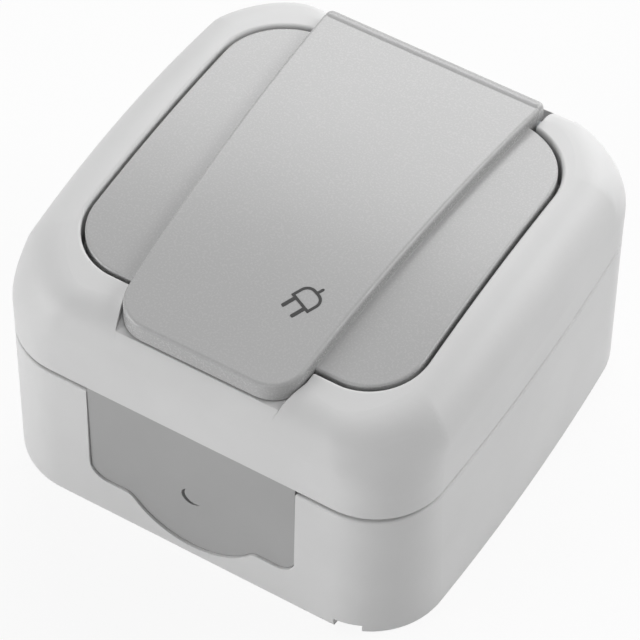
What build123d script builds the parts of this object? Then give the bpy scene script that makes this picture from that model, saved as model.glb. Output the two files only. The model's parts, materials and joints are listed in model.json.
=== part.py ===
from build123d import *
import math
import os

# Splash-proof earthed socket for surface mounting, with a sprung flap lid.
# Millimetres. Origin: centre of the wall face. +Z points out of the wall, +Y points
# towards the hinge (up on the wall), -Y towards the cable entry, +X to the right.

# Housing form
case_width = 73.6  # across the bowed sides, at their middle
case_length = 74.4
side_bow = 1.7  # how far the two long sides curve in at their ends
corner_radius = 11.7
base_corner_radius = 12.8  # at the wall; at the seam it is the cover's
base_draft = 0.4  # how far the base widens on each side towards the wall
base_height = 27.6  # wall face to the top edge of the base
seam_gap = 1.0
seam_edge_rounding = 0.4
cover_height = 46.0  # wall face to the highest point of the crowned cover
crown_rise = 2.0  # fall of the crown at crown_span from the middle
crown_span = 30.0
edge_rounding = 7.4
soft_corner_start = 34.0  # height from which the corners grow softer
soft_corner_growth = 19.4  # growth of the corner radius from there to the top
side_lean = 0.8  # how far the middle of the long sides leans in over the same height
soft_corner_sections = 5
wall = 2.4
floor_thickness = 2.5
foot_rounding = 0.8

# Tongue of the base inside the cover's rebate, and the seal on top of it
tongue_inset = 1.5
tongue_height = 2.4
tongue_clearance = 0.15
cover_seal_thickness = 0.6

# Opening of the cover for the lid
opening_side_margin = 8.2  # from the opening to the widest point of the housing
opening_front_margin = 9.3
opening_back_margin = 7.6
opening_front_radius = 9.6
opening_back_radius = 12.0
rim_rounding = 0.5
deck_height = 39.0
deck_thickness = 2.0
tub_wall = 2.0

# Lid
lid_gap = 0.6
lid_wall = 1.8
lid_skirt_bottom = 40.2
lid_edge_rounding = 0.4
band_half_width = 16.85  # of the raised band, at the middle of the lid
band_flare = 0.064  # widening of each band edge per mm towards the hinge
band_rise = 2.1
band_front_margin = 2.5
band_front_radius = 5.5
band_edge_rounding = 0.6
lip_bottom = 42.3
notch_gap = 0.35
notch_depth_gap = 1.2
notch_shoulder_margin = 7.2  # from the narrowing of the notch to the front of the housing
notch_front_half_width = 13.2
notch_front_margin = 0.9

# Hinge
pivot_margin = 5.9  # from the hinge axis to the back of the housing
pivot_z = 42.0
bead_radius = 1.6  # of the rounded rear edge of the band
bead_lift = 2.5  # centre of that bead above the hinge axis
bead_offset = 0.5  # and behind it
bead_end_rounding = 1.0
knuckle_radius = 2.3
trough_radius = 4.4
ear_gap = 0.6
ear_thickness = 2.6
pin_radius = 1.0
pin_running_clearance = 0.05
pin_seat_clearance = 0.02
pin_end_gap = 0.3
pin_chamfer = 0.25

# Torsion spring on the pin
spring_wire_radius = 0.3
spring_coil_radius = 1.55
spring_turns = 6.5  # ends half a turn apart, so that both legs point forwards
spring_pitch = 0.85
spring_leg = 5.0
spring_pocket_gap = 0.8
spring_hole_gap = 0.2
spring_rest_width = 1.8
spring_rest_length = 1.2

# Seal carried by the lid
gasket_margin = 0.4  # from the gasket to the rim of the flange
gasket_width = 2.2
gasket_bottom = 41.05
gasket_top = 43.3
gasket_seat_gap = 0.05
gasket_holder_wall = 0.7
gasket_holder_bottom = 42.0

# Round socket well
well_radius = 20.0
well_depth = 17.5
well_wall = 1.6
well_floor_thickness = 3.0
flange_land = 2.5  # width of the flange on the deck
flange_thickness = 1.4
well_seal_thickness = 0.6
well_hole_gap = 0.5
well_mouth_chamfer = 0.7
guide_rib_width = 5.0
guide_rib_depth = 2.2
guide_rib_top_gap = 2.5
pin_hole_spacing = 19.0
pin_hole_radius = 2.8
pin_hole_chamfer = 0.6

# Contact carrier under the well
carrier_half_width = 20.5
carrier_half_length = 20.2
carrier_corner_radius = 8.0
carrier_bottom = 6.0
carrier_gap = 0.2  # carrier top to the underside of the well floor
contact_seat = 12.0  # height of the faces that carry the strips
strip_thickness = 0.8
pocket_gap = 0.3

# Pin contacts
contact_top = 20.0
jaw_tip = 3.3  # from the pin axis towards the middle of the socket
jaw_back = 3.4  # from the pin axis outwards
jaw_flare = 3.6
jaw_pinch = 2.7
jaw_heel = 3.2
jaw_bend = 0.7
jaw_tip_curve = 2.0
jaw_pinch_curve = 1.0
tab_half_width = 2.5
tab_offset = 3.3  # of the tab's centre line from the pin axis
tab_end = 13.2

# Earth bracket
bracket_half_width = 2.5
bracket_leg_offset = 20.9
clip_root_rise = 0.5  # bend at the foot of the clip, above the well floor
clip_knee_offset = 18.6
clip_knee_rise = 9.5  # above that bend
clip_tip_offset = 20.2
clip_tip_rise = 3.9  # above the knee
bracket_curve = 1.4
clip_root_curve = 4.0
clip_tip_curve = 2.0
clip_slot_gap = 0.6

# Terminals
terminal_distance = 9.5  # of the live terminals from the pin line, towards the entry
earth_terminal_distance = 10.0  # from the pin line, towards the hinge
clamp_side = 6.0
clamp_thickness = 1.0
clamp_lip = 0.7
clamp_side_gap = 0.1
clamp_room = 0.6
wire_way_width = 4.4

# Screws
small_screw_radius = 1.5
small_head_radius = 2.7
small_head_height = 1.8
head_chamfer = 0.35
screw_hole_clearance = 0.2
thread_clearance = 0.02
thread_run_out = 1.0  # depth of a screw's hole past the end of the screw
screw_slot_width = 0.8
screw_slot_depth = 0.8
terminal_screw_end = 9.4
centre_screw_end = 10.2
centre_head_radius = 2.8
centre_head_height = 1.5
carrier_screw_x = 14.0
carrier_screw_y = 16.0
carrier_screw_seat = 10.0
carrier_screw_end = 3.2
carrier_post_radius = 3.4
rest_post_x = 17.0
rest_post_y = 15.5
cover_screw_margin_x = 6.0  # from the side of the lid opening
cover_screw_margin_y = 7.4  # from the front of the lid opening
cover_screw_radius = 1.6
cover_head_radius = 3.0
cover_head_height = 2.0
cover_head_top_gap = 0.4
cover_screw_end = 17.0
cover_screw_seal_thickness = 0.6
cover_screw_post_radius = 4.2
cover_screw_pillar_radius = 4.0

# Cable entry plate in the base wall
plate_half_width = 17.8
plate_gap = 0.12
plate_recess = 0.1
plate_shoulder_height = 7.9
plate_corner_radius = 3.0
plate_bulge_radius = 12.8
plate_bulge_height = 15.1
plate_bulge_blend = 2.2
plate_flange = 1.6
plate_flange_thickness = 1.4
plate_pocket_radius = 10.0
plate_pocket_depth = 1.2
drill_mark_radius = 1.75
drill_mark_shift = 0.55
drill_mark_height = 14.1
drill_mark_depth = 1.0
rail_width = 1.5
rail_hook = 1.5
rail_hook_thickness = 1.0
rail_gap = 0.2
rail_bottom = 8.5

# Wall fixing and drain
fixing_hole_radius = 2.2
fixing_hole_spacing = 56.0
fixing_boss_radius = 4.4
fixing_boss_height = 1.2
drain_x = 27.0
drain_width = 4.2
drain_height = 1.9
drain_depth = 2.6

# Margins for cutting and for picking edges
cut_margin = 1.0  # how far a cutting shape reaches past a face
pick_margin = 0.1
pick_tolerance = 0.01

# Places worked out from the sizes above
case_half_length = case_length / 2
opening_half_width = case_width / 2 - opening_side_margin
opening_front = case_half_length - opening_front_margin  # from the centre towards the cable entry
opening_back = case_half_length - opening_back_margin  # from the centre towards the hinge
band_front = case_half_length - band_front_margin
notch_shoulder = case_half_length - notch_shoulder_margin
notch_front = case_half_length - notch_front_margin
pivot_y = case_half_length - pivot_margin
bead_y = pivot_y + bead_offset
bead_z = pivot_z + bead_lift
cover_screw_x = opening_half_width - cover_screw_margin_x
cover_screw_y = opening_front - cover_screw_margin_y
seam_top = base_height + seam_gap
tongue_top = base_height + tongue_height
crown_radius = (crown_span**2 + crown_rise**2) / (2 * crown_rise)
crown_centre = cover_height - crown_radius
inner_wall_y = case_half_length - wall
deck_bottom = deck_height - deck_thickness
flange_bottom = deck_height + well_seal_thickness
well_top = flange_bottom + flange_thickness
well_floor = well_top - well_depth
well_bottom = well_floor - well_floor_thickness
well_outer_radius = well_radius + well_wall
well_hole_radius = well_outer_radius + well_hole_gap
flange_radius = well_hole_radius + flange_land
carrier_top = well_bottom - carrier_gap
pin_x = pin_hole_spacing / 2
strip_top = contact_seat + strip_thickness
clamp_top = strip_top + clamp_thickness
gasket_outer_radius = flange_radius - gasket_margin
gasket_inner_radius = gasket_outer_radius - gasket_width
clip_root_height = well_floor + clip_root_rise
clip_knee_height = clip_root_height + clip_knee_rise
clip_tip_height = clip_knee_height + clip_tip_rise
notch_floor = lip_bottom - notch_depth_gap
terminal_x = pin_x + tab_offset
terminals = [
    (terminal_x, -terminal_distance),
    (-terminal_x, -terminal_distance),
    (0.0, earth_terminal_distance),
]
trough_half_width = band_half_width + band_flare * pivot_y + ear_gap
spring_half_length = spring_turns * spring_pitch / 2
spring_pocket_half = spring_half_length + spring_wire_radius + spring_pocket_gap
spring_pocket_radius = spring_coil_radius + spring_wire_radius + spring_hole_gap
spring_slope = spring_pitch / (2 * math.pi * spring_coil_radius)
spring_low = pivot_z - spring_coil_radius  # height of the fixed leg
spring_high = pivot_z + spring_coil_radius  # height of the lid's leg
above = cover_height + 10.0  # clear of everything, for cutting tools
clip_slot_half = bracket_half_width + clip_slot_gap
cover_head_top = deck_height - cover_head_top_gap
cover_screw_seat = cover_head_top - cover_head_height - cover_screw_seal_thickness
cover_screw_hole_end = cover_screw_end - thread_run_out


def band_edge(y):
    """Half-width of the raised band at a distance y towards the hinge."""
    return band_half_width + band_flare * y


def block(x_span, y_span, z_span):
    """A box given by its limits along the three axes."""
    size = [high - low for low, high in (x_span, y_span, z_span)]
    middle = [(high + low) / 2 for low, high in (x_span, y_span, z_span)]
    return Pos(*middle) * Box(*size)


def upright(radius, bottom, top, x=0.0, y=0.0):
    """A cylinder that stands along Z."""
    return Pos(x, y, (bottom + top) / 2) * Cylinder(radius, top - bottom)


def ring(inner_radius, outer_radius, bottom, top, x=0.0, y=0.0):
    """A flat ring around an upright axis."""
    return upright(outer_radius, bottom, top, x, y) - upright(inner_radius, bottom, top, x, y)


def across(radius, half_length, y, z):
    """A cylinder that lies along X."""
    return Pos(0, y, z) * Rot(0, 90, 0) * Cylinder(radius, 2 * half_length)


def prism(face, bottom, top):
    """A face in the XY plane, extruded between two heights."""
    return extrude(Pos(0, 0, bottom) * face, top - bottom)


def corners(distance_x, distance_y):
    """The four points of a rectangle around the centre."""
    return [(sx * distance_x, sy * distance_y) for sx in (-1, 1) for sy in (-1, 1)]


def plan_face(inset, radius, lean=0.0):
    """Plan outline of the housing: bowed long sides and round corners."""
    end_x = case_width / 2 - side_bow - inset
    middle_x = case_width / 2 - inset - lean
    end_y = case_half_length - inset
    outline = Wire(
        [
            Edge.make_three_point_arc((end_x, -end_y), (middle_x, 0), (end_x, end_y)),
            Edge.make_line((end_x, end_y), (-end_x, end_y)),
            Edge.make_three_point_arc((-end_x, end_y), (-middle_x, 0), (-end_x, -end_y)),
            Edge.make_line((-end_x, -end_y), (end_x, -end_y)),
        ]
    )
    face = Face(outline)
    return face.fillet_2d(radius, face.vertices())


def plan_prism(inset, bottom, top):
    """The housing's straight walls between two heights, set in by a distance."""
    return prism(plan_face(inset, corner_radius - inset), bottom, top)


def under_crown(lift=0.0):
    """Everything below the crowned top surface, raised by a distance."""
    return across(crown_radius + lift, case_width, 0, crown_centre)


def cover_form(inset):
    """Solid form of the cover with softening corners, crowned top and large edge rounding."""
    loft_height = cover_height - soft_corner_start
    sections = []
    for section in range(soft_corner_sections):
        share = section / (soft_corner_sections - 1)
        outline = plan_face(inset, corner_radius - inset + soft_corner_growth * share**2, side_lean * share)
        sections.append(Pos(0, 0, soft_corner_start + loft_height * share) * outline)
    form = plan_prism(inset, seam_top, soft_corner_start) + loft(sections)
    form = form & under_crown(-inset)
    top_face = form.faces().sort_by(Axis.Z)[-1]
    return fillet(top_face.edges(), edge_rounding - inset)


def opening_face(inset):
    """Outline of the lid opening, set in by a distance (or out, if negative)."""
    half_width = opening_half_width - inset
    front = inset - opening_front
    back = opening_back - inset
    face = Pos(0, (front + back) / 2) * Rectangle(2 * half_width, back - front)
    rows = face.vertices().group_by(Axis.Y)
    face = fillet(rows[0], opening_front_radius - inset)
    rows = face.vertices().group_by(Axis.Y)
    return fillet(rows[-1], opening_back_radius - inset)


def band_face(grow, back):
    """Outline of the raised band from its rounded front to a distance behind the centre."""
    front = -band_front - grow
    front_x = band_edge(front) + grow
    back_x = band_edge(back) + grow
    face = make_face(
        Polyline((front_x, front), (back_x, back), (-back_x, back), (-front_x, front), close=True)
    )
    return fillet(face.vertices().group_by(Axis.Y)[0], band_front_radius + grow)


def notch_face(grow):
    """Outline of the finger notch: it follows the band and narrows in front of its round corners."""
    right_side = [
        (band_edge(0) + notch_gap + grow, 0),
        (band_edge(-notch_shoulder) + notch_gap + grow, -notch_shoulder),
        (notch_front_half_width + grow, -notch_front - grow),
    ]
    left_side = [(-x, y) for x, y in reversed(right_side)]
    return make_face(Polyline(right_side + left_side, close=True))


def plate_face(grow):
    """Outline of the cable entry plate, as x and height, grown by a distance."""
    plate_top = seam_top - plate_gap
    height = plate_top - plate_shoulder_height
    face = Pos(0, plate_shoulder_height + height / 2) * Rectangle(2 * plate_half_width, height)
    face += Pos(0, plate_bulge_height) * Circle(plate_bulge_radius)
    face -= Pos(0, plate_top + plate_bulge_radius) * Rectangle(case_width, 2 * plate_bulge_radius)
    foot = face.vertices().filter_by(lambda v: abs(v.Y - plate_shoulder_height) < pick_tolerance)
    outer = foot.filter_by(lambda v: abs(v.X) > plate_bulge_radius)
    face = fillet(outer, plate_corner_radius)
    foot = face.vertices().filter_by(lambda v: abs(v.Y - plate_shoulder_height) < pick_tolerance)
    straight_half = plate_half_width - plate_corner_radius - pick_tolerance
    inner = foot.filter_by(lambda v: abs(v.X) < min(plate_bulge_radius, straight_half))
    face = fillet(inner, plate_bulge_blend)
    return offset(face, grow) if grow else face


def wall_prism(face, y_outside, y_inside):
    """A face drawn as x and height, extruded through the entry wall between two depths."""
    return extrude(Plane.XZ.offset(y_inside) * face, y_outside - y_inside)


def slotted_head(radius, height, bottom, x, y):
    """A cylindrical screw head with a driver slot."""
    top = bottom + height
    head = upright(radius, bottom, top, x, y)
    head = chamfer(head.edges().filter_by(GeomType.CIRCLE).sort_by(Axis.Z)[-1], head_chamfer)
    half_slot = screw_slot_width / 2
    slot = block(
        (x - 2 * radius, x + 2 * radius),
        (y - half_slot, y + half_slot),
        (top - screw_slot_depth, above),
    )
    return head - slot


def screw(shaft_radius, head_radius, head_height, seat, end, x, y):
    """A screw whose head sits on the height called seat."""
    return slotted_head(head_radius, head_height, seat, x, y) + upright(shaft_radius, end, seat, x, y)


def base_form():
    """Solid outside of the base, a little wider at the wall, with rounded edges at foot and seam."""
    foot = plan_face(-base_draft, base_corner_radius)
    top = Pos(0, 0, base_height) * plan_face(0, corner_radius)
    form = loft([foot, top], ruled=True)
    form = fillet(form.faces().sort_by(Axis.Z)[-1].edges(), seam_edge_rounding)
    return fillet(form.faces().sort_by(Axis.Z)[0].edges(), foot_rounding)


def base_box():
    """Open wall box with pillars, posts, cable opening, wall fixing holes and drain mark."""
    box = base_form()
    box += plan_prism(tongue_inset, floor_thickness, tongue_top)
    box -= plan_prism(wall, floor_thickness, above)
    for x, y in corners(cover_screw_x, cover_screw_y):
        box += upright(cover_screw_pillar_radius, floor_thickness, base_height, x, y)
        box -= upright(cover_screw_radius + thread_clearance, cover_screw_hole_end, above, x, y)
    for side in (-1, 1):
        screw_x = side * carrier_screw_x
        thread_radius = small_screw_radius + thread_clearance
        box += upright(carrier_post_radius, floor_thickness, carrier_bottom, screw_x, carrier_screw_y)
        box -= upright(thread_radius, carrier_screw_end, carrier_bottom, screw_x, carrier_screw_y)
        rest_x = side * rest_post_x
        box += upright(carrier_post_radius, floor_thickness, carrier_bottom, rest_x, -rest_post_y)
        hole_x = side * fixing_hole_spacing / 2
        boss_top = floor_thickness + fixing_boss_height
        box += upright(fixing_boss_radius, floor_thickness, boss_top, hole_x, 0)
        box -= upright(fixing_hole_radius, 0, above, hole_x, 0)
        box += entry_rail(side)
    box -= wall_prism(plate_face(plate_gap), case_half_length + base_draft, inner_wall_y)
    half_opening = plate_half_width + plate_gap
    box -= block(
        (-half_opening, half_opening),
        (-case_half_length - base_draft, -inner_wall_y),
        (base_height - cut_margin, above),
    )
    box -= block(
        (drain_x - drain_width / 2, drain_x + drain_width / 2),
        (-case_half_length - base_draft, drain_depth - case_half_length),
        (0, drain_height),
    )
    return box


def entry_rail(side):
    """Hooked rail beside the cable opening that holds one edge of the entry plate."""
    inner_x = plate_half_width + plate_flange + rail_gap
    hook_y_start = inner_wall_y - plate_flange_thickness - rail_gap
    stem = block(
        (inner_x, inner_x + rail_width),
        (-inner_wall_y, rail_hook_thickness - hook_y_start),
        (rail_bottom, base_height),
    )
    hook = block(
        (inner_x - rail_hook, inner_x + rail_width),
        (-hook_y_start, rail_hook_thickness - hook_y_start),
        (rail_bottom, base_height),
    )
    rail = stem + hook
    return rail if side > 0 else mirror(rail, Plane.YZ)


def cable_entry_plate():
    """Slide-in plate of the base wall, thin in the middle, with a curved drill mark."""
    plate = wall_prism(plate_face(0), case_half_length - plate_recess, inner_wall_y)
    flange_back = inner_wall_y - plate_flange_thickness
    flange = wall_prism(plate_face(plate_flange), inner_wall_y, flange_back)
    plate += flange & block(
        (-case_width, case_width),
        (-inner_wall_y, -flange_back),
        (floor_thickness + plate_gap, base_height),
    )
    plate += block(
        (-plate_half_width, plate_half_width),
        (tongue_inset - case_half_length, -inner_wall_y),
        (base_height - cut_margin, tongue_top),
    )
    pocket = Pos(0, plate_bulge_height) * Circle(plate_pocket_radius)
    plate -= wall_prism(pocket, flange_back + plate_pocket_depth, flange_back)
    mark = Pos(0, drill_mark_height) * Circle(drill_mark_radius)
    mark -= Pos(drill_mark_shift, drill_mark_height + drill_mark_shift) * Circle(drill_mark_radius)
    plate -= wall_prism(mark, case_half_length, case_half_length - plate_recess - drill_mark_depth)
    return plate


def cover_tub():
    """Solid outside of the lid recess, its front notch and hinge trough, and the screw posts."""
    tub = prism(opening_face(-tub_wall), deck_bottom, above)
    tub += prism(notch_face(tub_wall), notch_floor - tub_wall, above)
    tub += across(trough_radius + tub_wall, trough_half_width + ear_thickness, pivot_y, pivot_z)
    for x, y in corners(cover_screw_x, cover_screw_y):
        tub += upright(cover_screw_post_radius, base_height, deck_height, x, y)
    return tub


def front_cover():
    """Moulded cover: crowned shell, sunken deck, lid recess, front notch and hinge trough."""
    cover = cover_form(0)
    tub = cover_tub()
    cover -= cover_form(wall) - tub
    for x, y in corners(cover_screw_x, cover_screw_y):
        cover += upright(cover_screw_post_radius, base_height, deck_height, x, y)
    recess = prism(opening_face(0), deck_height, above)
    recess += prism(notch_face(0), notch_floor, above)
    trough = across(trough_radius, trough_half_width, pivot_y, pivot_z)
    trough += block(
        (-trough_half_width, trough_half_width),
        (opening_back - cut_margin, pivot_y + trough_radius),
        (pivot_z, above),
    )
    cover -= recess + trough
    cover -= upright(well_hole_radius, deck_bottom - cut_margin, above)
    cover -= across(
        pin_radius + pin_seat_clearance, trough_half_width + ear_thickness, pivot_y, pivot_z
    )
    rest_x = -spring_half_length - spring_slope * spring_leg
    cover += block(
        (rest_x - spring_rest_width / 2, rest_x + spring_rest_width / 2),
        (pivot_y - spring_leg, pivot_y - spring_leg + spring_rest_length),
        (deck_height, spring_low - spring_wire_radius),
    )
    rebate = plan_prism(tongue_inset - tongue_clearance, seam_top, tongue_top + cover_seal_thickness)
    cover -= rebate - plan_prism(wall, seam_top, above)
    hole_start = base_height - cut_margin
    for x, y in corners(cover_screw_x, cover_screw_y):
        cover -= upright(cover_screw_radius + screw_hole_clearance, hole_start, above, x, y)
        cover -= upright(cover_head_radius + screw_hole_clearance, cover_screw_seat, above, x, y)
    rim = cover.edges().filter_by(lambda edge: on_rim(edge.center()))
    return fillet(rim, rim_rounding)


def on_rim(point):
    """True for the top edges of the lid opening, on the crowned surface."""
    beside_band = abs(point.X) > band_edge(point.Y) + ear_gap
    inside_x = abs(point.X) < opening_half_width + pick_margin
    inside_y = -opening_front - pick_margin < point.Y < opening_back + pick_margin
    crown_height = crown_centre + math.sqrt(crown_radius**2 - point.Y**2)
    on_crown = abs(point.Z - crown_height) < pick_margin
    return beside_band and inside_x and inside_y and on_crown


def lid_outer():
    """Outside of the lid: crowned plate, raised band with finger lip and rounded rear roll."""
    plate = prism(opening_face(lid_gap), lid_skirt_bottom, above) & under_crown()
    plate = fillet(plate.faces().sort_by(Axis.Z)[-1].edges(), lid_edge_rounding)
    band = prism(band_face(0, pivot_y), lip_bottom, above) & under_crown(band_rise)
    band_top = band.faces().sort_by(Axis.Z)[-1]
    in_front_of_pin = band_top.edges().filter_by(lambda edge: edge.center().Y < pivot_y - pick_margin)
    band = fillet(in_front_of_pin, band_edge_rounding)
    return plate + band + rear_roll()


def rear_roll():
    """Rounded rear edge of the band, which runs down round the hinge pin."""
    circles = Pos(bead_y, bead_z) * Circle(bead_radius)
    circles += Pos(pivot_y, pivot_z) * Circle(knuckle_radius)
    outline = make_hull(circles.edges())
    half = band_edge(pivot_y)
    roll = extrude(Plane.YZ * outline, half, both=True)
    ends = roll.faces().sort_by(Axis.X)
    return fillet(ends[0].edges() + ends[-1].edges(), bead_end_rounding)


def flap_lid():
    """Sprung lid moulded in one piece, hollow underneath, with gasket holder and hinge knuckle."""
    lid = lid_outer()
    hollow = prism(opening_face(lid_gap + lid_wall), lid_skirt_bottom, above) & under_crown(-lid_wall)
    channel_back = opening_back - lid_gap - lid_wall
    channel = prism(band_face(-lid_wall, channel_back), lid_skirt_bottom, above)
    channel &= under_crown(band_rise - lid_wall)
    channel &= block(
        (-case_width, case_width),
        (lid_gap + lid_wall - opening_front, channel_back),
        (lid_skirt_bottom, above),
    )
    lid -= hollow + channel
    holder = ring(
        gasket_inner_radius - gasket_seat_gap - gasket_holder_wall,
        gasket_outer_radius + gasket_seat_gap + gasket_holder_wall,
        gasket_holder_bottom,
        above,
    )
    lid += holder & (hollow + channel)
    seat_inner = gasket_inner_radius - gasket_seat_gap
    seat_outer = gasket_outer_radius + gasket_seat_gap
    lid -= ring(seat_inner, seat_outer, gasket_holder_bottom - cut_margin, gasket_top)
    lid -= across(pin_radius + pin_running_clearance, case_width / 2, pivot_y, pivot_z)
    return lid - spring_pocket()


def spring_pocket():
    """Space in the lid for the spring: around its coil, its fixed leg and the end of its other leg."""
    behind_skirt = opening_back - lid_gap
    inside_skirt = behind_skirt - lid_wall - cut_margin
    low = lid_skirt_bottom - cut_margin
    span = (-spring_pocket_half, spring_pocket_half)
    pocket = across(spring_pocket_radius, spring_pocket_half, pivot_y, pivot_z)
    pocket += block(span, (behind_skirt, pivot_y), (low, pivot_z + spring_pocket_radius))
    pocket += block(span, (behind_skirt, pivot_y + knuckle_radius + cut_margin), (low, pivot_z))
    leg_drift = spring_slope * (pivot_y - behind_skirt + lid_wall / 2)
    leg_x = spring_half_length + leg_drift
    leg_room = spring_rest_width / 2 + spring_hole_gap
    pocket += block(
        (-leg_x - leg_room, leg_room - leg_x),
        (inside_skirt, pivot_y - spring_coil_radius),
        (low, spring_low + spring_wire_radius + spring_hole_gap),
    )
    hole_radius = spring_wire_radius + spring_hole_gap
    hole = Plane.XZ.offset(-pivot_y) * Pos(leg_x, spring_high) * Circle(hole_radius)
    return pocket + extrude(hole, pivot_y - inside_skirt)


def lid_gasket():
    """Soft ring in the lid that closes on the flange of the socket well."""
    return ring(gasket_inner_radius, gasket_outer_radius, gasket_bottom, gasket_top)


def hinge_pin():
    """Steel pin through both ears and the knuckle."""
    half = trough_half_width + ear_thickness - pin_end_gap
    pin = across(pin_radius, half, pivot_y, pivot_z)
    return chamfer(pin.edges().filter_by(GeomType.CIRCLE), pin_chamfer)


def lid_spring():
    """Torsion spring: one leg rests on the deck, the other sits in a hole of the lid."""
    start = Plane(origin=(-spring_half_length, pivot_y, pivot_z), x_dir=(0, 0, -1), z_dir=(1, 0, 0))
    coil = start * Edge.make_helix(spring_pitch, spring_turns * spring_pitch, spring_coil_radius)
    fixed_leg = Edge.make_line(coil @ 0 - (coil % 0) * spring_leg, coil @ 0)
    lid_leg = Edge.make_line(coil @ 1, coil @ 1 + (coil % 1) * spring_leg)
    path = Wire([fixed_leg, coil, lid_leg])
    return sweep(Plane(origin=path @ 0, z_dir=path % 0) * Circle(spring_wire_radius), path)


def cover_seal():
    """Soft seal between the tongue of the base and the cover's rebate."""
    top = tongue_top + cover_seal_thickness
    return plan_prism(tongue_inset, tongue_top, top) - plan_prism(wall, tongue_top, top)


def socket_well():
    """Round recess for the plug, with pin holes, guide ribs and slots for the earth clips."""
    well = upright(well_outer_radius, well_bottom, well_top)
    well += upright(flange_radius, flange_bottom, well_top)
    well -= upright(well_radius, well_floor, above)
    circles = well.edges().filter_by(GeomType.CIRCLE)
    mouth = circles.filter_by(lambda circle: abs(circle.radius - well_radius) < pick_tolerance)
    well = chamfer(mouth.sort_by(Axis.Z)[-1], well_mouth_chamfer)
    for side in (-1, 1):
        rib = block(
            (well_radius - guide_rib_depth, well_radius + well_wall / 2),
            (-guide_rib_width / 2, guide_rib_width / 2),
            (well_floor, well_top - guide_rib_top_gap),
        )
        well += Rot(0, 0, 90 - 90 * side) * rib
        slot = block(
            (-clip_slot_half, clip_slot_half),
            (well_radius - well_wall / 2, flange_radius),
            (well_bottom, clip_tip_height + clip_slot_gap),
        )
        well -= Rot(0, 0, 90 - 90 * side) * slot
        x = side * pin_x
        well -= upright(pin_hole_radius, well_bottom, above, x)
        mouth_depth = pin_hole_chamfer
        lead_in = Cone(pin_hole_radius, pin_hole_radius + mouth_depth, mouth_depth)
        well -= Pos(x, 0, well_floor - mouth_depth / 2) * lead_in
    well -= upright(small_screw_radius + screw_hole_clearance, well_bottom, above)
    return well - countersink(centre_head_radius + screw_hole_clearance / 2)


def countersink(radius):
    """Cone of the centre screw's head, with its wide end flush with the well floor."""
    tip_radius = radius - centre_head_height
    cone = Cone(tip_radius, radius, centre_head_height)
    return Pos(0, 0, well_floor - centre_head_height / 2) * cone


def centre_screw():
    """Countersunk screw that clamps the well to the earth bracket."""
    screw_body = countersink(centre_head_radius)
    screw_body += upright(small_screw_radius, centre_screw_end, well_floor - centre_head_height / 2)
    half_slot = screw_slot_width / 2
    reach = centre_head_radius / 2
    for turn in (0, 90):
        arm = block((-reach, reach), (-half_slot, half_slot), (well_floor - screw_slot_depth, above))
        screw_body -= Rot(0, 0, turn) * arm
    return screw_body


def well_seal():
    """Flat ring between the deck and the flange of the well."""
    return ring(well_hole_radius, flange_radius, deck_height, flange_bottom)


def carrier_outline():
    """Plan outline of the contact carrier."""
    return RectangleRounded(2 * carrier_half_width, 2 * carrier_half_length, carrier_corner_radius)


def contact_carrier():
    """Insulating block with pockets for the contacts, the earth bracket and the terminals."""
    carrier = prism(carrier_outline(), carrier_bottom, carrier_top)
    slot_half = bracket_half_width + pocket_gap
    carrier -= block(
        (-slot_half, slot_half), (-carrier_half_length, carrier_half_length), (contact_seat, above)
    )
    screw_hole = small_screw_radius + screw_hole_clearance
    carrier -= upright(screw_hole, centre_screw_end - thread_run_out, above)
    jaw_half = jaw_flare + strip_thickness / 2 + pocket_gap
    clamp_half = clamp_side / 2 + clamp_room
    for side in (-1, 1):
        inner = pin_x - jaw_tip - strip_thickness - pocket_gap
        outer = pin_x + jaw_back + strip_thickness / 2 + pocket_gap
        pockets = block((inner, outer), (-jaw_half, jaw_half), (contact_seat, above))
        pockets += upright(pin_hole_radius, carrier_bottom, above, pin_x)
        pockets += block(
            (terminal_x - clamp_half, terminal_x + clamp_half),
            (-terminal_distance - clamp_half - pocket_gap, 0),
            (contact_seat, above),
        )
        pockets += block(
            (terminal_x - wire_way_width / 2, terminal_x + wire_way_width / 2),
            (-carrier_half_length, 0),
            (contact_seat, above),
        )
        pockets += upright(screw_hole, carrier_bottom, above, carrier_screw_x, carrier_screw_y)
        head_hole = small_head_radius + screw_hole_clearance
        pockets += upright(head_hole, carrier_screw_seat, above, carrier_screw_x, carrier_screw_y)
        carrier -= pockets if side > 0 else mirror(pockets, Plane.YZ)
    carrier -= block(
        (-clamp_half, clamp_half),
        (earth_terminal_distance - clamp_half, earth_terminal_distance + clamp_half),
        (contact_seat, above),
    )
    carrier -= block(
        (-carrier_half_width, 0),
        (earth_terminal_distance - wire_way_width / 2, earth_terminal_distance + wire_way_width / 2),
        (contact_seat, above),
    )
    for x, y in terminals:
        carrier -= upright(screw_hole, terminal_screw_end - pocket_gap, above, x, y)
    return carrier


def bent_strip(points, radii):
    """Cross-section of a strip bent along a polyline."""
    return trace(FilletPolyline(*points, radius=radii), strip_thickness)


def pin_contact():
    """Sprung brass jaws around one pin, with a flat tab that is tapped for its terminal."""
    tip_x = pin_x - jaw_tip
    pinch_x = pin_x - jaw_bend
    back_x = pin_x + jaw_back
    points = [
        (tip_x, jaw_flare),
        (pinch_x, jaw_pinch),
        (back_x, jaw_heel),
        (back_x, -jaw_heel),
        (pinch_x, -jaw_pinch),
        (tip_x, -jaw_flare),
    ]
    curves = [jaw_tip_curve, jaw_pinch_curve, jaw_pinch_curve, jaw_tip_curve]
    jaws = prism(bent_strip(points, curves), contact_seat, contact_top)
    tab = block(
        (terminal_x - tab_half_width, terminal_x + tab_half_width),
        (-tab_end, -jaw_heel),
        (contact_seat, strip_top),
    )
    tap = upright(
        small_screw_radius + thread_clearance, contact_seat, strip_top, terminal_x, -terminal_distance
    )
    return jaws + tab - tap


def line_contact():
    """Contact on the right."""
    return pin_contact()


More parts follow.
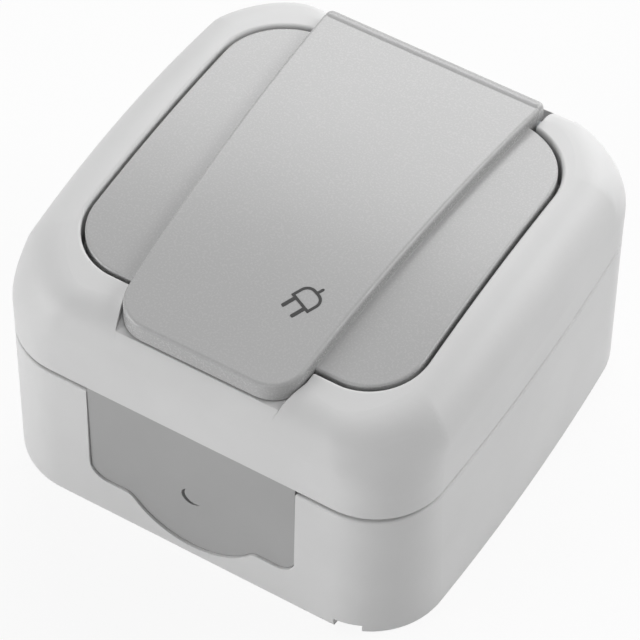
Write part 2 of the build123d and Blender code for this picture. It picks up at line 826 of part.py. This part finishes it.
def neutral_contact():
    """Contact on the left."""
    return mirror(pin_contact(), Plane.YZ)


def earth_bracket():
    """One strip under the well that rises at both ends into the two sprung earth clips."""
    middle = contact_seat + strip_thickness / 2
    half = [
        (bracket_leg_offset, middle),
        (bracket_leg_offset, clip_root_height),
        (clip_knee_offset, clip_knee_height),
        (clip_tip_offset, clip_tip_height),
    ]
    points = [(-y, z) for y, z in reversed(half)] + half
    radii = [bracket_curve, clip_root_curve, clip_tip_curve]
    face = Plane.YZ * bent_strip(points, list(reversed(radii)) + radii)
    bracket = extrude(face, bracket_half_width, both=True)
    for y in (0, earth_terminal_distance):
        bracket -= upright(small_screw_radius + thread_clearance, contact_seat, strip_top, 0, y)
    return bracket


def terminal_clamps():
    """Three pressure plates with two turned-down edges."""
    half = clamp_side / 2
    clamps = []
    for x, y in terminals:
        clamp = block((x - half, x + half), (y - half, y + half), (strip_top - clamp_lip, clamp_top))
        inner = tab_half_width + clamp_side_gap
        clamp -= block((x - inner, x + inner), (y - half, y + half), (strip_top - clamp_lip, strip_top))
        clamp -= upright(small_screw_radius + screw_hole_clearance, strip_top, clamp_top, x, y)
        clamps.append(clamp)
    return Compound(clamps)


def small_screw(seat, end, x, y):
    """One of the screws inside, which all have the same head and shaft."""
    return screw(small_screw_radius, small_head_radius, small_head_height, seat, end, x, y)


def terminal_screws():
    """Three screws that press the clamps down."""
    return Compound([small_screw(clamp_top, terminal_screw_end, x, y) for x, y in terminals])


def carrier_screws():
    """Two screws that hold the contact carrier on its posts."""
    places = [(-carrier_screw_x, carrier_screw_y), (carrier_screw_x, carrier_screw_y)]
    return Compound([small_screw(carrier_screw_seat, carrier_screw_end, x, y) for x, y in places])


def cover_screws():
    """Four screws in the sunken holes of the deck."""
    seat = cover_screw_seat + cover_screw_seal_thickness
    sizes = (cover_screw_radius, cover_head_radius, cover_head_height, seat, cover_screw_end)
    return Compound([screw(*sizes, x, y) for x, y in corners(cover_screw_x, cover_screw_y)])


def cover_screw_seals():
    """Soft rings under the heads of the cover screws."""
    inner = cover_screw_radius + screw_hole_clearance / 2
    top = cover_screw_seat + cover_screw_seal_thickness
    sizes = (inner, cover_head_radius, cover_screw_seat, top)
    return Compound([ring(*sizes, x, y) for x, y in corners(cover_screw_x, cover_screw_y)])


nodes = [
    base_box,
    cable_entry_plate,
    front_cover,
    cover_seal,
    cover_screws,
    cover_screw_seals,
    flap_lid,
    lid_gasket,
    hinge_pin,
    lid_spring,
    socket_well,
    well_seal,
    centre_screw,
    contact_carrier,
    carrier_screws,
    line_contact,
    neutral_contact,
    earth_bracket,
    terminal_clamps,
    terminal_screws,
]

os.makedirs("parts", exist_ok=True)
for make in nodes:
    export_step(make(), f"parts/{make.__name__}.step")
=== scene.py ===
import json
import math

import bmesh
import bpy
from mathutils import Matrix, Vector

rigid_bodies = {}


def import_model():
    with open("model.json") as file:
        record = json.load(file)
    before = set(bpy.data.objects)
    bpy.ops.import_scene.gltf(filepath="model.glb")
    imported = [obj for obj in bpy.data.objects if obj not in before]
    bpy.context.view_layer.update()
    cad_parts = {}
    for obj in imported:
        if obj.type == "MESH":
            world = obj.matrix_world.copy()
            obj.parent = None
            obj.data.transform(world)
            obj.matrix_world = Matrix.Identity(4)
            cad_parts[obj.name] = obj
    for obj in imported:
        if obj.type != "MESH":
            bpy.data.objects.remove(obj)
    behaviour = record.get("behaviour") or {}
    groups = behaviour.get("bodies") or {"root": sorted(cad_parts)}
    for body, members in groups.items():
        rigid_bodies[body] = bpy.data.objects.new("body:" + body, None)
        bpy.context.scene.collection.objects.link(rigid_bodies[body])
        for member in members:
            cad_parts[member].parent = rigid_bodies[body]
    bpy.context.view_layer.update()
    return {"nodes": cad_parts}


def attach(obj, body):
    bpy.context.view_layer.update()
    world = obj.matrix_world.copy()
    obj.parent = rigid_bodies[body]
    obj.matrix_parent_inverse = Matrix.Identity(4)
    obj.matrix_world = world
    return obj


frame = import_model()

nodes = frame["nodes"]
scene_objects = bpy.context.scene.collection.objects
mm = 0.001

# Camera, from a fit on the housing's edges in the photograph; angles in degrees
camera_azimuth = 30.422
camera_elevation = 50.923
camera_roll = 0.910
camera_distance = 554.48 * mm
camera_shift_right = 0.070 * mm
camera_shift_up = -10.540 * mm
camera_clip_start = 10 * mm
focal_length = 199.44  # on a 36 mm wide sensor
sensor_width = 36.0

# Moulded plastic
plastic_ior = 1.5
cloud_size = 18 * mm  # of the faint changes of tone
cloud_span = (0.35, 0.65)  # part of the noise over which the tone changes
plastic_gloss_spread = 0.03

# Metal
metal_tone_span = (0.3, 0.7)
metal_gloss_spread = 0.06
metal_edge = 0.08 * mm

edge_samples = 8  # of the softened edges in every material

# Crowned surface of the lid's raised band
crown_radius = 226.0 * mm
cover_height = 46.0 * mm
band_rise = 2.1 * mm
crown_centre = cover_height - crown_radius

# Sill in the finger notch under the lip; it raises the notch's floor and ends on the cover's rounding
sill_top = 42.0 * mm
sill_foot = 40.2 * mm  # inside the cover
sill_back = -31.0 * mm
sill_bite = 0.02 * mm  # into the notch's side walls
# Its front lies on the cover's rounding and sinks in below the notch
rounding_radius = 7.4 * mm
rounding_y = -29.67 * mm
rounding_z = 36.75 * mm
rounding_end = 28.0  # degrees above the rounding's centre
rounding_steps = 10
# The notch narrows towards the front
notch_wide_y = -30.0 * mm
notch_wide_x = 15.28 * mm  # half the notch's width there
notch_narrow_y = -36.3 * mm
notch_narrow_x = 13.2 * mm

# Plug sign on the band
sign_centre_x = 8.24 * mm
sign_centre_y = -20.46 * mm
sign_turn = -25.0  # degrees
sign_body_width = 4.1 * mm
sign_body_height = 3.3 * mm
sign_corner = 1.6 * mm
sign_corner_steps = 8
sign_line = 0.45 * mm
sign_pin_width = 0.62 * mm
sign_pin_length = 2.2 * mm
sign_pin_x = 1.15 * mm
sign_cord_length = 1.05 * mm
sign_end_rounding = 0.22 * mm
sign_end_steps = 4
print_thickness = 0.03 * mm
print_sink = 0.05 * mm  # how far the print's underside lies in the lid, so that no gap shows

# Floor and light
floor_size = 6.0
floor_white_share = 0.9  # how far the floor is lifted to white where it is looked at
lamp_aim_height = 30 * mm


def linear(hex_colour):
    """Linear colour of an sRGB hex value such as C8C8C8."""
    parts = [int(hex_colour[i : i + 2], 16) / 255 for i in (0, 2, 4)]
    flat = [c / 12.92 if c <= 0.04045 else ((c + 0.055) / 1.055) ** 2.4 for c in parts]
    return (*flat, 1.0)


def add(tree, kind, inputs=None, **settings):
    """Adds a node with its settings; inputs are values or other nodes' outputs, by socket name."""
    node = tree.nodes.new(kind)
    for name, value in settings.items():
        setattr(node, name, value)
    for name, value in (inputs or {}).items():
        if isinstance(value, bpy.types.NodeSocket):
            tree.links.new(value, node.inputs[name])
        else:
            node.inputs[name].default_value = value
    return node


def material(name):
    """An empty material, its node tree and its output node."""
    made = bpy.data.materials.new(name)
    made.use_nodes = True
    made.node_tree.nodes.clear()
    output = add(made.node_tree, "ShaderNodeOutputMaterial")
    return made, made.node_tree, output


def surface(tree, tones, tone_span, shade, colour, skin, roughness, spread, depth, edge, substance):
    """One shader from two patterns: tones for the colour, skin for the fine surface.

    The colour runs from shade to colour over tone_span of its pattern. The skin changes the roughness
    by spread to either side and raises the surface by depth, and edge is the radius of the softened
    edges, both in metres. Substance holds what else makes it a plastic or a metal.
    """
    ramp = add(tree, "ShaderNodeValToRGB", {"Fac": tones})
    for stop, position, tone in zip(ramp.color_ramp.elements, tone_span, (shade, colour)):
        stop.position = position
        stop.color = linear(tone)
    gloss = add(
        tree,
        "ShaderNodeMapRange",
        {"Value": skin, "To Min": roughness - spread, "To Max": roughness + spread},
    )
    soft_edge = add(tree, "ShaderNodeBevel", {"Radius": edge}, samples=edge_samples)
    relief = add(
        tree,
        "ShaderNodeBump",
        {"Strength": 1.0, "Distance": depth, "Height": skin, "Normal": soft_edge.outputs["Normal"]},
    )
    shader = add(
        tree,
        "ShaderNodeBsdfPrincipled",
        {
            "Base Color": ramp.outputs["Color"],
            "Roughness": gloss.outputs["Result"],
            "Normal": relief.outputs["Normal"],
            **substance,
        },
    )
    return shader.outputs["BSDF"]


def moulded(name, colour, shade, roughness, grain, depth, edge):
    """Moulded plastic or rubber, and the ink printed on it; grain, depth and edge are in metres.

    The mould's spark-eroded skin leaves a fine even grain, the melt leaves faint cloudy changes of
    tone, and no edge is quite sharp. The real grain is about 0.03 mm wide, too fine to show, so it
    is drawn several times as coarse.
    """
    made, tree, output = material(name)
    place = add(tree, "ShaderNodeTexCoord").outputs["Object"]
    clouds = add(tree, "ShaderNodeTexNoise", {"Vector": place, "Scale": 1 / cloud_size, "Detail": 3.0})
    skin = add(tree, "ShaderNodeTexNoise", {"Vector": place, "Scale": 1 / grain, "Detail": 2.0})
    shader = surface(
        tree,
        tones=clouds.outputs["Fac"],
        tone_span=cloud_span,
        shade=shade,
        colour=colour,
        skin=skin.outputs["Fac"],
        roughness=roughness,
        spread=plastic_gloss_spread,
        depth=depth,
        edge=edge,
        substance={"IOR": plastic_ior},
    )
    tree.links.new(shader, output.inputs["Surface"])
    return made


def metal(name, colour, shade, roughness, grain, stretch, depth):
    """Metal with a worked surface: rolling lines, or the cloudy crystals of a plating.

    Grain is their width in metres, drawn several times as coarse as the real one so that it shows,
    stretch is their length along X, Y and Z in widths, and depth is in metres.
    """
    made, tree, output = material(name)
    place = add(tree, "ShaderNodeTexCoord").outputs["Object"]
    drawn = add(tree, "ShaderNodeMapping", {"Vector": place, "Scale": [1 / s for s in stretch]})
    lines = add(
        tree,
        "ShaderNodeTexNoise",
        {"Vector": drawn.outputs["Vector"], "Scale": 1 / grain, "Detail": 3.0},
    )
    shader = surface(
        tree,
        tones=lines.outputs["Fac"],
        tone_span=metal_tone_span,
        shade=shade,
        colour=colour,
        skin=lines.outputs["Fac"],
        roughness=roughness,
        spread=metal_gloss_spread,
        depth=depth,
        edge=metal_edge,
        substance={"Metallic": 1.0},
    )
    tree.links.new(shader, output.inputs["Surface"])
    return made


# Light grey ABS of the housing: a matt, even skin
housing_abs = moulded(
    "housing_moulded_abs",
    colour="D7D7D7",
    shade="D3D3D3",
    roughness=0.5,
    grain=0.3 * mm,
    depth=0.004 * mm,
    edge=0.2 * mm,
)
# Darker ABS of the lid: the same moulding with a smoother tool, so it mirrors the light softly
lid_abs = moulded(
    "lid_satin_moulded_abs",
    colour="B0B0B0",
    shade="AEAEAE",
    roughness=0.27,
    grain=0.3 * mm,
    depth=0.0003 * mm,
    edge=0.15 * mm,
)
# The entry plate: close to the lid's grey, with the matt skin of the housing
plate_abs = moulded(
    "plate_matt_moulded_abs",
    colour="A5A5A5",
    shade="A2A2A2",
    roughness=0.55,
    grain=0.25 * mm,
    depth=0.005 * mm,
    edge=0.12 * mm,
)
# Polycarbonate of the well: light, a little glossier, because the plug slides in it
well_polycarbonate = moulded(
    "well_moulded_polycarbonate",
    colour="D9D9D8",
    shade="D6D6D5",
    roughness=0.38,
    grain=0.3 * mm,
    depth=0.003 * mm,
    edge=0.12 * mm,
)
# Urea thermoset of the contact carrier: dense and hard, slightly warm, with visible filler
carrier_urea = moulded(
    "carrier_pressed_urea",
    colour="E2DFD6",
    shade="D4D0C6",
    roughness=0.45,
    grain=0.5 * mm,
    depth=0.01 * mm,
    edge=0.15 * mm,
)
# Soft seals: black TPE with a dry, dull skin
seal_tpe = moulded(
    "seal_moulded_tpe",
    colour="2B2B2C",
    shade="252526",
    roughness=0.75,
    grain=0.4 * mm,
    depth=0.012 * mm,
    edge=0.2 * mm,
)
# Zinc-plated steel: a cool, slightly clouded plating
zinc_steel = metal(
    "zinc_plated_steel",
    colour="C9CCCF",
    shade="B3B7BB",
    roughness=0.34,
    grain=0.5 * mm,
    stretch=(1, 1, 1),
    depth=0.004 * mm,
)
# Rolled brass strip: long faint lines from the rolls
rolled_brass = metal(
    "rolled_brass_strip",
    colour="D8B870",
    shade="C09C52",
    roughness=0.3,
    grain=0.15 * mm,
    stretch=(1, 12, 1),
    depth=0.003 * mm,
)
# Nickel-plated spring strip: warm white metal with rolling lines
nickel_strip = metal(
    "nickel_plated_strip",
    colour="D2CDC2",
    shade="BDB7AA",
    roughness=0.28,
    grain=0.15 * mm,
    stretch=(1, 12, 12),
    depth=0.003 * mm,
)
# Pad-printed ink: thin, near black, half matt
print_ink = moulded(
    "pad_printed_ink",
    colour="141414",
    shade="101010",
    roughness=0.6,
    grain=0.1 * mm,
    depth=0.002 * mm,
    edge=0.01 * mm,
)

finishes = {
    "base_box": housing_abs,
    "front_cover": housing_abs,
    "flap_lid": lid_abs,
    "cable_entry_plate": plate_abs,
    "socket_well": well_polycarbonate,
    "contact_carrier": carrier_urea,
    "cover_seal": seal_tpe,
    "cover_screw_seals": seal_tpe,
    "lid_gasket": seal_tpe,
    "well_seal": seal_tpe,
    "cover_screws": zinc_steel,
    "carrier_screws": zinc_steel,
    "terminal_screws": zinc_steel,
    "terminal_clamps": zinc_steel,
    "centre_screw": zinc_steel,
    "hinge_pin": zinc_steel,
    "lid_spring": zinc_steel,
    "line_contact": rolled_brass,
    "neutral_contact": rolled_brass,
    "earth_bracket": nickel_strip,
}
for name, finish in finishes.items():
    nodes[name].data.materials.clear()
    nodes[name].data.materials.append(finish)


def placed(mesh, name, finish):
    """Turns a bmesh into an object of the scene."""
    data = bpy.data.meshes.new(name)
    mesh.to_mesh(data)
    mesh.free()
    data.materials.append(finish)
    made = bpy.data.objects.new(name, data)
    scene_objects.link(made)
    return made


def keep(mesh, name, finish, body):
    """Turns a closed bmesh into a piece that rides on a body."""
    bmesh.ops.recalc_face_normals(mesh, faces=mesh.faces)
    piece = placed(mesh, name, finish)
    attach(piece, body)


def flat_face(mesh, outline):
    """A face in the XY plane from its corners."""
    return mesh.faces.new([mesh.verts.new((x, y, 0)) for x, y in outline])


def rectangle(left, right, bottom, top):
    """The corners of an upright rectangle, from the lower left one round to the upper left one."""
    return [(left, bottom), (right, bottom), (right, top), (left, top)]


def extruded(mesh, way):
    """Raises a flat mesh to a closed solid along way."""
    grown = bmesh.ops.extrude_face_region(mesh, geom=mesh.faces[:])
    far_side = [item for item in grown["geom"] if isinstance(item, bmesh.types.BMVert)]
    bmesh.ops.translate(mesh, verts=far_side, vec=way)


def round_corners(mesh, corners, radius, steps):
    """Rounds the corners of flat faces."""
    bmesh.ops.bevel(
        mesh,
        geom=corners,
        offset=radius,
        segments=steps,
        profile=0.5,
        affect="VERTICES",
        material=-1,
    )


def finger_sill():
    """Raised floor of the finger notch, flush with the cover's front rounding.

    Its side profile runs from x -1 to x 1 at first, and then takes the notch's width at each place.
    """
    mesh = bmesh.new()
    top_angle = math.asin((sill_top - rounding_z) / rounding_radius)
    sill_edge = rounding_y - rounding_radius * math.cos(top_angle)
    bmesh.ops.spin(
        mesh,
        geom=[mesh.verts.new((-1, sill_edge, sill_top))],
        cent=(-1, rounding_y, rounding_z),
        axis=(1, 0, 0),
        angle=top_angle - math.radians(rounding_end),
        steps=rounding_steps,
    )
    inside = [(sill_edge, sill_foot), (sill_back, sill_foot), (sill_back, sill_top)]
    mesh.faces.new(mesh.verts[:] + [mesh.verts.new((-1, y, z)) for y, z in inside])
    extruded(mesh, (2, 0, 0))
    narrowing = (notch_wide_x - notch_narrow_x) / (notch_wide_y - notch_narrow_y)
    for vert in mesh.verts:
        vert.co.x *= notch_narrow_x + (vert.co.y - notch_narrow_y) * narrowing + sill_bite
    keep(mesh, "finger_sill", housing_abs, "housing")


def plug_sign():
    """Printed plug pictogram: the outline of the plug's body, its two pins and the stub of its cord."""
    mesh = bmesh.new()
    half_width = sign_body_width / 2
    body = flat_face(mesh, rectangle(-half_width, half_width, 0, sign_body_height))
    far_corners = [vert for vert in body.verts if vert.co.y > 0]
    round_corners(mesh, far_corners, sign_corner, sign_corner_steps)
    outline = bmesh.ops.inset_region(
        mesh, faces=mesh.faces[:], thickness=sign_line, use_boundary=True, use_even_offset=True
    )["faces"]
    inside = [face for face in mesh.faces if face not in outline]
    bmesh.ops.delete(mesh, geom=inside, context="FACES_ONLY")
    for pin_x in (-sign_pin_x, sign_pin_x):
        left = pin_x - sign_pin_width / 2
        flat_face(mesh, rectangle(left, left + sign_pin_width, -sign_pin_length, 0))
    cord_top = sign_body_height + sign_cord_length
    flat_face(mesh, rectangle(-sign_line / 2, sign_line / 2, sign_body_height, cord_top))
    pin_ends = [vert for vert in mesh.verts if vert.co.y < -sign_pin_length / 2]
    cord_end = [vert for vert in mesh.verts if vert.co.y > cord_top - sign_line]
    round_corners(mesh, pin_ends + cord_end, sign_end_rounding, sign_end_steps)
    extruded(mesh, (0, 0, print_thickness + print_sink))
    turn = Matrix.Rotation(math.radians(sign_turn), 4, "Z")
    place = Matrix.Translation((sign_centre_x, sign_centre_y, -print_sink))
    bmesh.ops.transform(mesh, matrix=place @ turn, verts=mesh.verts)
    for vert in mesh.verts:
        vert.co.z += crown_centre + math.sqrt((crown_radius + band_rise) ** 2 - vert.co.y**2)
    keep(mesh, "plug_sign", print_ink, "lid")


finger_sill()
plug_sign()


def shown_rays(tree):
    """1 for the camera's rays and those that metal or glass send on, 0 for the rest of the light."""
    rays = add(tree, "ShaderNodeLightPath").outputs
    seen_or_mirrored = add(
        tree,
        "ShaderNodeMath",
        {0: rays["Is Camera Ray"], 1: rays["Is Glossy Ray"]},
        operation="MAXIMUM",
    )
    shown = add(
        tree,
        "ShaderNodeMath",
        {0: seen_or_mirrored.outputs["Value"], 1: rays["Is Transmission Ray"]},
        operation="MAXIMUM",
    )
    return shown.outputs["Value"]


def white_paper():
    """Pale matt paper, lifted towards white only where it is looked at, so that the shadow stays."""
    made, tree, output = material("floor_white_paper")
    paper = add(tree, "ShaderNodeBsdfDiffuse", {"Color": linear("E8E8E8")})
    glow = add(tree, "ShaderNodeEmission", {"Color": linear("FFFFFF"), "Strength": 1.0})
    share = add(
        tree,
        "ShaderNodeMath",
        {0: shown_rays(tree), 1: floor_white_share},
        operation="MULTIPLY",
    )
    mix = add(tree, "ShaderNodeMixShader", {"Fac": share.outputs["Value"]})
    tree.links.new(paper.outputs["BSDF"], mix.inputs[1])
    tree.links.new(glow.outputs["Emission"], mix.inputs[2])
    tree.links.new(mix.outputs["Shader"], output.inputs["Surface"])
    return made


# Floor
floor_mesh = bmesh.new()
bmesh.ops.create_grid(floor_mesh, x_segments=1, y_segments=1, size=floor_size / 2)
floor = placed(floor_mesh, "floor", white_paper())

# World: a white backdrop that is only seen and mirrored; all other light comes from the soft boxes
world = bpy.data.worlds.new("studio")
world.use_nodes = True
world.node_tree.nodes.clear()
world_output = add(world.node_tree, "ShaderNodeOutputWorld")
backdrop = add(
    world.node_tree,
    "ShaderNodeBackground",
    {"Color": linear("FFFFFF"), "Strength": shown_rays(world.node_tree)},
)
world.node_tree.links.new(backdrop.outputs["Background"], world_output.inputs["Surface"])
bpy.context.scene.world = world


def direction(azimuth, elevation):
    """Unit vector from the object; azimuth 0 is towards -Y and 90 towards +X, in degrees."""
    a = math.radians(azimuth)
    e = math.radians(elevation)
    return Vector((math.sin(a) * math.cos(e), -math.cos(a) * math.cos(e), math.sin(e)))


# Soft boxes: azimuth and elevation in degrees, distance, width and height in metres, power in watts
soft_boxes = {
    "low_back_box": (164, 17, 1.0, 0.7, 0.45, 2.9),
    "high_back_box": (205, 38, 1.0, 0.8, 0.5, 5.2),
    "right_box": (130, 35, 1.0, 0.6, 0.45, 4.0),
    "low_right_box": (108, 14, 1.0, 0.6, 0.35, 0.6),
    "left_box": (-45, 14, 1.0, 0.7, 0.35, 5.1),
    "front_box": (10, 12, 1.0, 0.6, 0.3, 1.9),
    "top_box": (0, 85, 1.0, 0.8, 0.8, 2.0),
}
lamp_aim = Vector((0, 0, lamp_aim_height))
for name, (azimuth, elevation, distance, width, height, power) in soft_boxes.items():
    light = bpy.data.lights.new(name, "AREA")
    light.shape = "RECTANGLE"
    light.size = width
    light.size_y = height
    light.energy = power
    lamp = bpy.data.objects.new(name, light)
    scene_objects.link(lamp)
    towards = direction(azimuth, elevation)
    lamp.location = lamp_aim + towards * distance
    lamp.rotation_euler = towards.to_track_quat("Z", "Y").to_euler()

# Camera at the photograph's angle
back = direction(camera_azimuth, camera_elevation)
level_right = Vector((0, 0, 1)).cross(back).normalized()
level_up = back.cross(level_right)
roll = math.radians(camera_roll)
right = level_right * math.cos(roll) + level_up * math.sin(roll)
up = level_up * math.cos(roll) - level_right * math.sin(roll)
lens = bpy.data.cameras.new("camera")
lens.lens = focal_length
lens.sensor_width = sensor_width
lens.clip_start = camera_clip_start
camera = bpy.data.objects.new("camera", lens)
scene_objects.link(camera)
turned = Matrix((right, up, back)).transposed().to_4x4()
spot = back * camera_distance - right * camera_shift_right - up * camera_shift_up
camera.matrix_world = Matrix.Translation(spot) @ turned
bpy.context.scene.camera = camera

bpy.context.scene.view_settings.view_transform = "Standard"
